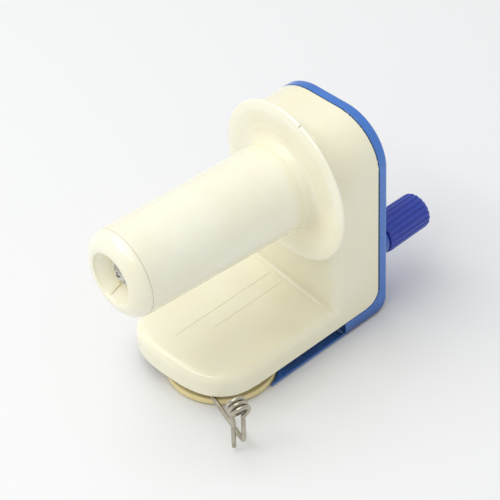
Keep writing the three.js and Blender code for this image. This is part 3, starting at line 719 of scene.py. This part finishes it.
MATERIALS = {
    # housing_cream: the default crevice mix paints yellowish shade where the tower meets the platform and
    # in other corners.
    "housing_cream": plastic("housing_cream", srgb(242, 238, 213), srgb(230, 216, 166), srgb(249, 246, 232),
                             0.22, glow=0.12, coat=0.4),
    # spool_cream: its tan deep colour with a wide, strong crevice mix paints the shade inside the end cap's
    # recess and at the flange's root.
    "spool_cream": plastic("spool_cream", srgb(244, 242, 222), srgb(222, 206, 142), srgb(251, 249, 240),
                           0.2, glow=0.12, coat=0.45, shade=0.85, reach=0.016),
    "disc_cream": plastic("disc_cream", srgb(234, 218, 162), srgb(205, 182, 112), srgb(242, 230, 190),
                          0.34, glow=0.12),
    # cover_blue: its near-black deep colour and strong, wide crevice mix paint the shade in the side
    # recesses under the housing's edge.
    "cover_blue": plastic("cover_blue", srgb(58, 118, 204), srgb(6, 16, 44), srgb(96, 148, 218),
                          0.27, coat=0.3, shade=0.96, reach=0.014, radius=(0.2, 0.4, 1.0)),
    "crank_blue": plastic("crank_blue", srgb(40, 90, 186), srgb(16, 42, 116), srgb(74, 124, 206),
                          0.3, coat=0.2, radius=(0.2, 0.4, 1.0)),
    "grip_blue": plastic("grip_blue", srgb(44, 66, 172), srgb(24, 34, 112), srgb(92, 116, 206),
                         0.34, grain=0.12, worn=0.3, radius=(0.2, 0.4, 1.0)),
    "nylon": plastic("nylon", srgb(236, 233, 222), srgb(214, 206, 184), srgb(246, 245, 238),
                     0.45, grain=0.1, glow=0.2),
    "steel": metal("steel", srgb(190, 192, 195), srgb(138, 139, 142), 0.3),
    "nickel": metal("nickel", srgb(214, 212, 205), srgb(150, 148, 142), 0.2, (300.0, 300.0, 60.0),
                    brush=0.06),
    "wire": metal("wire", srgb(196, 190, 174), srgb(120, 114, 98), 0.26, (30.0, 500.0, 500.0),
                  (0, 0, -0.33), brush=0.15),
    "brass": metal("brass", srgb(200, 164, 92), srgb(150, 112, 52), 0.34, (300.0, 60.0, 300.0)),
}
SLOT_OF = {p["node"]: p["material_slot"] for p in frame["record"]["subparts"]}
for node_name, node_object in frame["nodes"].items():
    node_object.data.materials.clear()
    node_object.data.materials.append(MATERIALS[SLOT_OF[node_name]])


def piece(name, shape, body, node, smooth=SMOOTH_DEG):
    """A finer piece that stands for one CAD node and takes that node's slot."""
    slot_name = SLOT_OF[node]
    return add_object(name, shape[0], shape[1], body, slot_name, MATERIALS[slot_name], (node,), smooth)


# ------------------------------------------------------------------ case
CASE_BOX = ((-44, -132, 5), (44, 1.5, 136.5))
COVER_BOX = ((-44, -97.5, -1), (44, 10.5, 136.5))
DISC_BOX = ((-24.5, -129.5, 0), (42.5, -62.5, 7))

case = piece("housing_shell", skin(housing_field, *CASE_BOX, 0.8), "housing", "front_housing")
apply_boolean(case, [
    brick(x - GROOVE_HALF, x + GROOVE_HALF, front, GROOVE_BACK, PLATFORM_Z - GROOVE_DEPTH, PLATFORM_Z + 1)
    for x, front in GROOVES
])
piece("rear_shell", skin(cover_field, *COVER_BOX, 0.75), "housing", "rear_cover")
piece("swivel_disc", skin(disc_field, *DISC_BOX, 0.6), "guide", "guide_disc")


def add_screw(name, node, body, shape, seat, out, across):
    """A screw with its head on the seat and facing out; across turns its cross recess."""
    piece(name, (place(shape[0], seat, out, across), shape[1]), body, node)


case_screw = screw_shape(2.9, 1.7, 1.4, 16)
for i, (px, pz) in enumerate(POSTS):
    add_screw(f"case_screw_{i + 1}", f"cover_screw_{i + 1}", "housing", case_screw,
              (px, BACK_Y - 2, pz), (0, 1, 0), (math.cos(i), 0, math.sin(i)))
base_screw = screw_shape(2.9, 1.4, 1.3, 12)
for i, (px, py) in enumerate(PAN_SCREWS):
    add_screw(f"base_screw_{i + 1}", f"pan_screw_{i + 1}", "housing", base_screw,
              (px, py, 2.2), (0, 0, -1), (math.cos(2 * i + 1), math.sin(2 * i + 1), 0))
add_screw("disc_screw", "pivot_screw", "housing", screw_shape(4, 1.6, 1.5, 13),
          (DISC_X, DISC_Y, 2.6), (0, 0, -1), (1, 0.4, 0))
add_screw("wire_screw", "clamp_screw", "guide", screw_shape(3, 1.8, 1.4, 7.8),
          (0, CLAMP_Y, 10.5), (0, 0, 1), (1, 0.7, 0))

# ------------------------------------------------------------------ crank
ARM_BOX = ((-12, 9, 28.5), (39, 18.5, 88))
piece("crank_lever", skin(arm_field, *ARM_BOX, 0.6), "crank", "crank_arm")
add_screw("lever_screw", "crank_screw", "crank", screw_shape(3.6, 2.2, 1.3, 9),
          (0, 17.5, CRANK_Z), (0, 1, 0), (1, 0, 0.3))


def rib_ring(r, depth, y):
    """One ring round the grip's axis, scooped between its ribs."""
    ring = []
    for i in range(GRIP_RIBS * GRIP_STEPS):
        a = 2 * math.pi * i / (GRIP_RIBS * GRIP_STEPS)
        wave = 0.5 - 0.5 * math.cos(GRIP_RIBS * a)
        drop = depth * (max(0.0, wave - 0.35) / 0.65) ** 0.8
        ring.append(((r - drop) * math.cos(a) + GRIP_X, y, (r - drop) * math.sin(a) + GRIP_Z))
    return ring


def closed_loft(rings):
    """Skin over rings whose last one joins the first."""
    n, m = len(rings[0]), len(rings)
    verts = np.concatenate([np.asarray(r, float) for r in rings])
    faces = []
    for i in range(m):
        for j in range(n):
            k = (j + 1) % n
            a, b = i * n, (i + 1) % m * n
            faces.append((a + j, a + k, b + k, b + j))
    return verts, faces


def grip_rings():
    """Rings from the grip's rounded root along its ribs, over its end and back through its bore."""
    rings = []
    ribs_from = GRIP_ROOT + GRIP_ROOT_ROUND
    for t in np.linspace(0, 1, 6):
        a = t * math.pi / 2
        r = GRIP_R - GRIP_ROOT_ROUND * (1 - math.sin(a))
        rings.append(rib_ring(r, 0.15 + 0.75 * t, ribs_from - GRIP_ROOT_ROUND * math.cos(a)))
    for t in np.linspace(0, 1, 7)[1:]:
        rings.append(rib_ring(GRIP_R - GRIP_TAPER * t, RIB_DEPTH, ribs_from + GRIP_LENGTH * t))
    end_r, end_y, end_reach = 2.3, ribs_from + GRIP_LENGTH, 2.6
    for t in np.linspace(0, 1, 8)[1:]:
        a = t * math.pi / 2
        r = GRIP_R - GRIP_TAPER - end_r * (1 - math.cos(a))
        rings.append(rib_ring(r, RIB_DEPTH * (1 - t) + 0.02, end_y + end_reach * math.sin(a)))
    inside = [(6.0, 49.7), (5.3, 49.55), (5.0, 49.0), (5.0, 46.4), (4.8, 46.2), (2.75, 46.2),
              (2.75, GRIP_ROOT), (5, GRIP_ROOT)]
    return rings + [rib_ring(r, 0, y) for r, y in inside]


piece("ribbed_grip", closed_loft(grip_rings()), "grip", "crank_grip", 50)

pin_profile = soften([(0, 10), (2.5, 10), (2.5, 46.6), (4.3, 46.6), (4.3, 48.2), (0, 48.2)],
                     [0, 0.3, 0, 0.1, 0.6, 0], 4, closed=False)
pin_verts, pin_faces = lathe(pin_profile, 48, close=False)
pin_placed = place(pin_verts, (GRIP_X, 0, GRIP_Z), (0, 1, 0), (1, 0, 0))
piece("grip_axle", (pin_placed, pin_faces), "crank", "grip_pin", 40)

# ------------------------------------------------------------------ spool
spool_axis = np.array([
    -math.sin(TILT) * math.cos(PHASE), -math.cos(TILT), -math.sin(TILT) * math.sin(PHASE)])
spool_side = np.array([math.cos(PHASE), 0, math.sin(PHASE)])


def on_spool(verts):
    """Moves points from the spool's own frame, with Z along its axis, to its place on the head."""
    return place(verts, SPOOL_ORIGIN, spool_axis, spool_side)


tube_points = [
    (TUBE_IN_R, -6.6), (26.9, -6.6), (26.9, -2.1), (44.5, -0.9), (49.4, -1.6), (50, -0.8), (49.2, 0.4),
    (44.4, 1.35), (36, 0.9), (31.2, 1.6), (28.5, 3.2), (TUBE_R + 0.1, 8), (TUBE_R - 0.3, TUBE_END),
    (24.9, TUBE_END), (TUBE_IN_R, 14.4), (HUB_R, 14.4), (HUB_R, 30), (HUB_BORE_R, 30),
    (HUB_BORE_R, 11.8), (TUBE_IN_R, 11.8),
]
tube_radii = [0.3, 0.3, 0.5, 6, 0.9, 1.0, 1.0, 8, 12, 5, 5, 6, 0.35, 0.3, 0.5, 0.5, 0.3, 0.3, 0.3, 0.5]
tube_verts, tube_faces = lathe(soften(tube_points, tube_radii, 7), 192)
tube_piece = piece("flanged_tube", (on_spool(tube_verts), tube_faces), "spool", "spool_tube", 45)
notch = np.array([(47.8, 0), (50.9, -0.7), (50.9, 0.7)])
notch_turn = math.radians(NOTCH_DEG)
turned_notch = notch @ np.array([
    [math.cos(notch_turn), math.sin(notch_turn)], [-math.sin(notch_turn), math.cos(notch_turn)]])
wedge = loft([[(x, y, z) for x, y in turned_notch] for z in (-3, 3)])
apply_boolean(tube_piece, [(on_spool(wedge[0]), wedge[1])])

cap_seat = TUBE_END + CAP_GAP
cap_points = [(22.4, 107), (24.3, 107), (24.3, cap_seat), (26.4, cap_seat)]
cap_points += arc(16.7, TUBE_END - 1.16, 9.8, 10, 90, CAP_ARC_STEPS)
cap_points += [(15.9, 122.4), (15.3, 121), (9, 114.1), (4.4, 114.1), (4.4, 103), (7.4, 103),
               (7.4, 111.4), (10.3, 112.6), (15.8, 118.9), (17.4, 120), (20, 118.6), (22.4, 116)]
cap_radii = [0.4, 0.4, 0.1, 0.15] + [0] * (CAP_ARC_STEPS + 1)
cap_radii += [0.5, 0.8, 1.2, 0.3, 0.2, 0.2, 0.3, 1, 1, 0.8, 1, 1]
cap_verts, cap_faces = lathe(soften(cap_points, cap_radii, 6), 160)
piece("recessed_cap", (on_spool(cap_verts), cap_faces), "spool", "end_cap", 45)

rib_line = [(8.7, 113.4), (10, 114.6), (14.9, 120), (14.9, 121.1), (13.4, 120), (8.7, 115.2)]
rib_turn = math.radians(RIB_DEG)
rib_out = np.array([math.cos(rib_turn), math.sin(rib_turn), 0])
rib_across = np.array([-math.sin(rib_turn), math.cos(rib_turn), 0])
rib_sections = [
    [rib_out * r + rib_across * offset + (0, 0, s - inset) for r, s in rib_line]
    for offset, inset in ((-0.5, 0.25), (-0.3, 0.0), (0.3, 0.0), (0.5, 0.25))
]
rib_verts, rib_faces = loft(rib_sections)
add_object("cap_rib", on_spool(rib_verts), rib_faces, "spool", "spool_cream", MATERIALS["spool_cream"],
           smooth=35)

screw_verts, screw_faces = screw_shape(4.4, 2.6, 1.35, 11)
piece("cap_screw", (on_spool(screw_verts + (0, 0, 115.6)), screw_faces), "head", "axle_screw")
washer = lathe(soften([(1.7, 114.6), (6.5, 114.6), (6.5, 115.4), (1.7, 115.4)], 0.18, 3), 64)
piece("cap_washer", (on_spool(washer[0]), washer[1]), "head", "axle_washer", 40)


# ------------------------------------------------------------------ wire guide
def guide_route():
    """Middle line of the wire: round its screw, out along the arm, up, round the coil and down."""
    along = np.array([math.cos(GUIDE_ANGLE), math.sin(GUIDE_ANGLE), 0])
    across = np.array([-math.sin(GUIDE_ANGLE), math.cos(GUIDE_ANGLE), 0])
    clamp = np.array([0, CLAMP_Y, WIRE_Z])
    pts = []
    for i in range(LOOP_STEPS + 1):
        a = math.radians(-270 + 270 * i / LOOP_STEPS)
        pts.append(clamp - across * LOOP_R * math.cos(a) + along * LOOP_R * math.sin(a))
    end = pts[-1] + along * ARM_LENGTH
    pts += [end - along * back for back in (40, 12, 4)]
    pts.append(end - along + (0, 0, 0.9))
    pts += [end + (0, 0, rise) for rise in (3.6, 8, 14, 18)]
    coil_axis = np.array(COIL_AXIS) / np.linalg.norm(COIL_AXIS)
    level = np.cross((0, 0, 1), coil_axis)
    level /= np.linalg.norm(level)
    steep = np.cross(coil_axis, level)
    centre = end - level * COIL_SHIFT + (0, 0, COIL_RISE)
    sweep = COIL_TO - COIL_FROM
    for i in range(COIL_STEPS + 1):
        a = math.radians(COIL_FROM + sweep * i / COIL_STEPS)
        lift = COIL_PITCH * sweep / 360 * (0.5 - i / COIL_STEPS)
        pts.append(centre + level * COIL_R * math.cos(a) + steep * COIL_R * math.sin(a) + coil_axis * lift)
    tail = pts[-1]
    for z in (22, 14, TAIL_Z + WIRE_R * 0.8):
        p = tail + level * TAIL_SHIFT * min((tail[2] - z) / 8, 1)
        pts.append(np.array([p[0], p[1], z]))
    return np.array(pts)


def rounded_path(pts, most=18, gap=0.8):
    """Centripetal Catmull-Rom curve through the points."""
    pts = np.vstack([2 * pts[0] - pts[1], pts, 2 * pts[-1] - pts[-2]])
    out = []
    for p0, p1, p2, p3 in zip(pts, pts[1:], pts[2:], pts[3:]):
        t0 = 0.0
        t1 = t0 + math.sqrt(np.linalg.norm(p1 - p0))
        t2 = t1 + math.sqrt(np.linalg.norm(p2 - p1))
        t3 = t2 + math.sqrt(np.linalg.norm(p3 - p2))
        count = max(2, min(most, int(np.linalg.norm(p2 - p1) / gap)))
        for t in np.linspace(t1, t2, count, endpoint=False):
            a1 = (t1 - t) / (t1 - t0) * p0 + (t - t0) / (t1 - t0) * p1
            a2 = (t2 - t) / (t2 - t1) * p1 + (t - t1) / (t2 - t1) * p2
            a3 = (t3 - t) / (t3 - t2) * p2 + (t - t2) / (t3 - t2) * p3
            b1 = (t2 - t) / (t2 - t0) * a1 + (t - t0) / (t2 - t0) * a2
            b2 = (t3 - t) / (t3 - t1) * a2 + (t - t1) / (t3 - t1) * a3
            out.append((t2 - t) / (t2 - t1) * b1 + (t - t1) / (t2 - t1) * b2)
    out.append(pts[-2])
    return np.array(out)


piece("wire_guide", tube(rounded_path(guide_route()), WIRE_R * WIRE_SLIM, 18), "guide", "yarn_guide")

# ------------------------------------------------------------------ floor, light, camera
# lengths from here on are metres
FLOOR_HALF = 4
FLOOR_DROP = 0.0002
FLOOR_TONE = (0.82, 0.823, 0.823, 1)
SKY_TONE = (0.985, 0.99, 1.0, 1)
SKY_STRENGTH = 0.72

scene = bpy.context.scene
scene.view_settings.view_transform = "Standard"

floor_mesh = bpy.data.meshes.new("floor")
floor_corners = [(FLOOR_HALF * x, FLOOR_HALF * y, 0) for x, y in ((-1, -1), (1, -1), (1, 1), (-1, 1))]
floor_mesh.from_pydata(floor_corners, [], [(0, 1, 2, 3)])
floor = bpy.data.objects.new("floor", floor_mesh)
floor.location.z = -FLOOR_DROP
scene.collection.objects.link(floor)
floor_look = bpy.data.materials.new("floor")
floor_look.use_nodes = True
floor_bsdf = floor_look.node_tree.nodes["Principled BSDF"]
floor_bsdf.inputs["Base Color"].default_value = FLOOR_TONE
floor_bsdf.inputs["Roughness"].default_value = 0.6
floor_bsdf.inputs["Specular IOR Level"].default_value = 0.2
floor_mesh.materials.append(floor_look)

world = bpy.data.worlds.new("studio")
scene.world = world
world.use_nodes = True
sky = world.node_tree.nodes["Background"]
sky.inputs["Color"].default_value = SKY_TONE
sky.inputs["Strength"].default_value = SKY_STRENGTH


def softbox(name, at, aim, size, power):
    """Rectangular area light that faces its aim."""
    data = bpy.data.lights.new(name, "AREA")
    data.shape = "RECTANGLE"
    data.size, data.size_y = size
    data.energy = power
    obj = bpy.data.objects.new(name, data)
    obj.location = at
    obj.rotation_euler = (Vector(aim) - Vector(at)).to_track_quat("-Z", "Y").to_euler()
    scene.collection.objects.link(obj)


softbox("key", (-0.5, -0.55, 1.6), (0, -0.1, 0.04), (1.6, 1.6), 14.5)
softbox("front_fill", (0.0, -1.0, 1.3), (0, -0.06, 0.05), (1.3, 0.12), 3.0)

cam_data = bpy.data.cameras.new("camera")
cam_data.lens = CAM_LENS
cam_data.sensor_width = 36.0
cam_data.clip_start = 0.05
cam_data.clip_end = 30
camera = bpy.data.objects.new("camera", cam_data)
az, el, roll = (math.radians(v) for v in (CAM_AZ, CAM_EL, CAM_ROLL))
back = Vector((math.sin(az) * math.cos(el), -math.cos(az) * math.cos(el), math.sin(el)))
right = Vector((0, 0, 1)).cross(back).normalized()
up = back.cross(right)
cam_right = math.cos(roll) * right + math.sin(roll) * up
cam_up = -math.sin(roll) * right + math.cos(roll) * up
rotation = Matrix((cam_right, cam_up, back)).transposed()
camera.matrix_world = Matrix.Translation(CAM_AT) @ rotation.to_4x4()
scene.collection.objects.link(camera)
scene.camera = camera

bpy.context.view_layer.update()
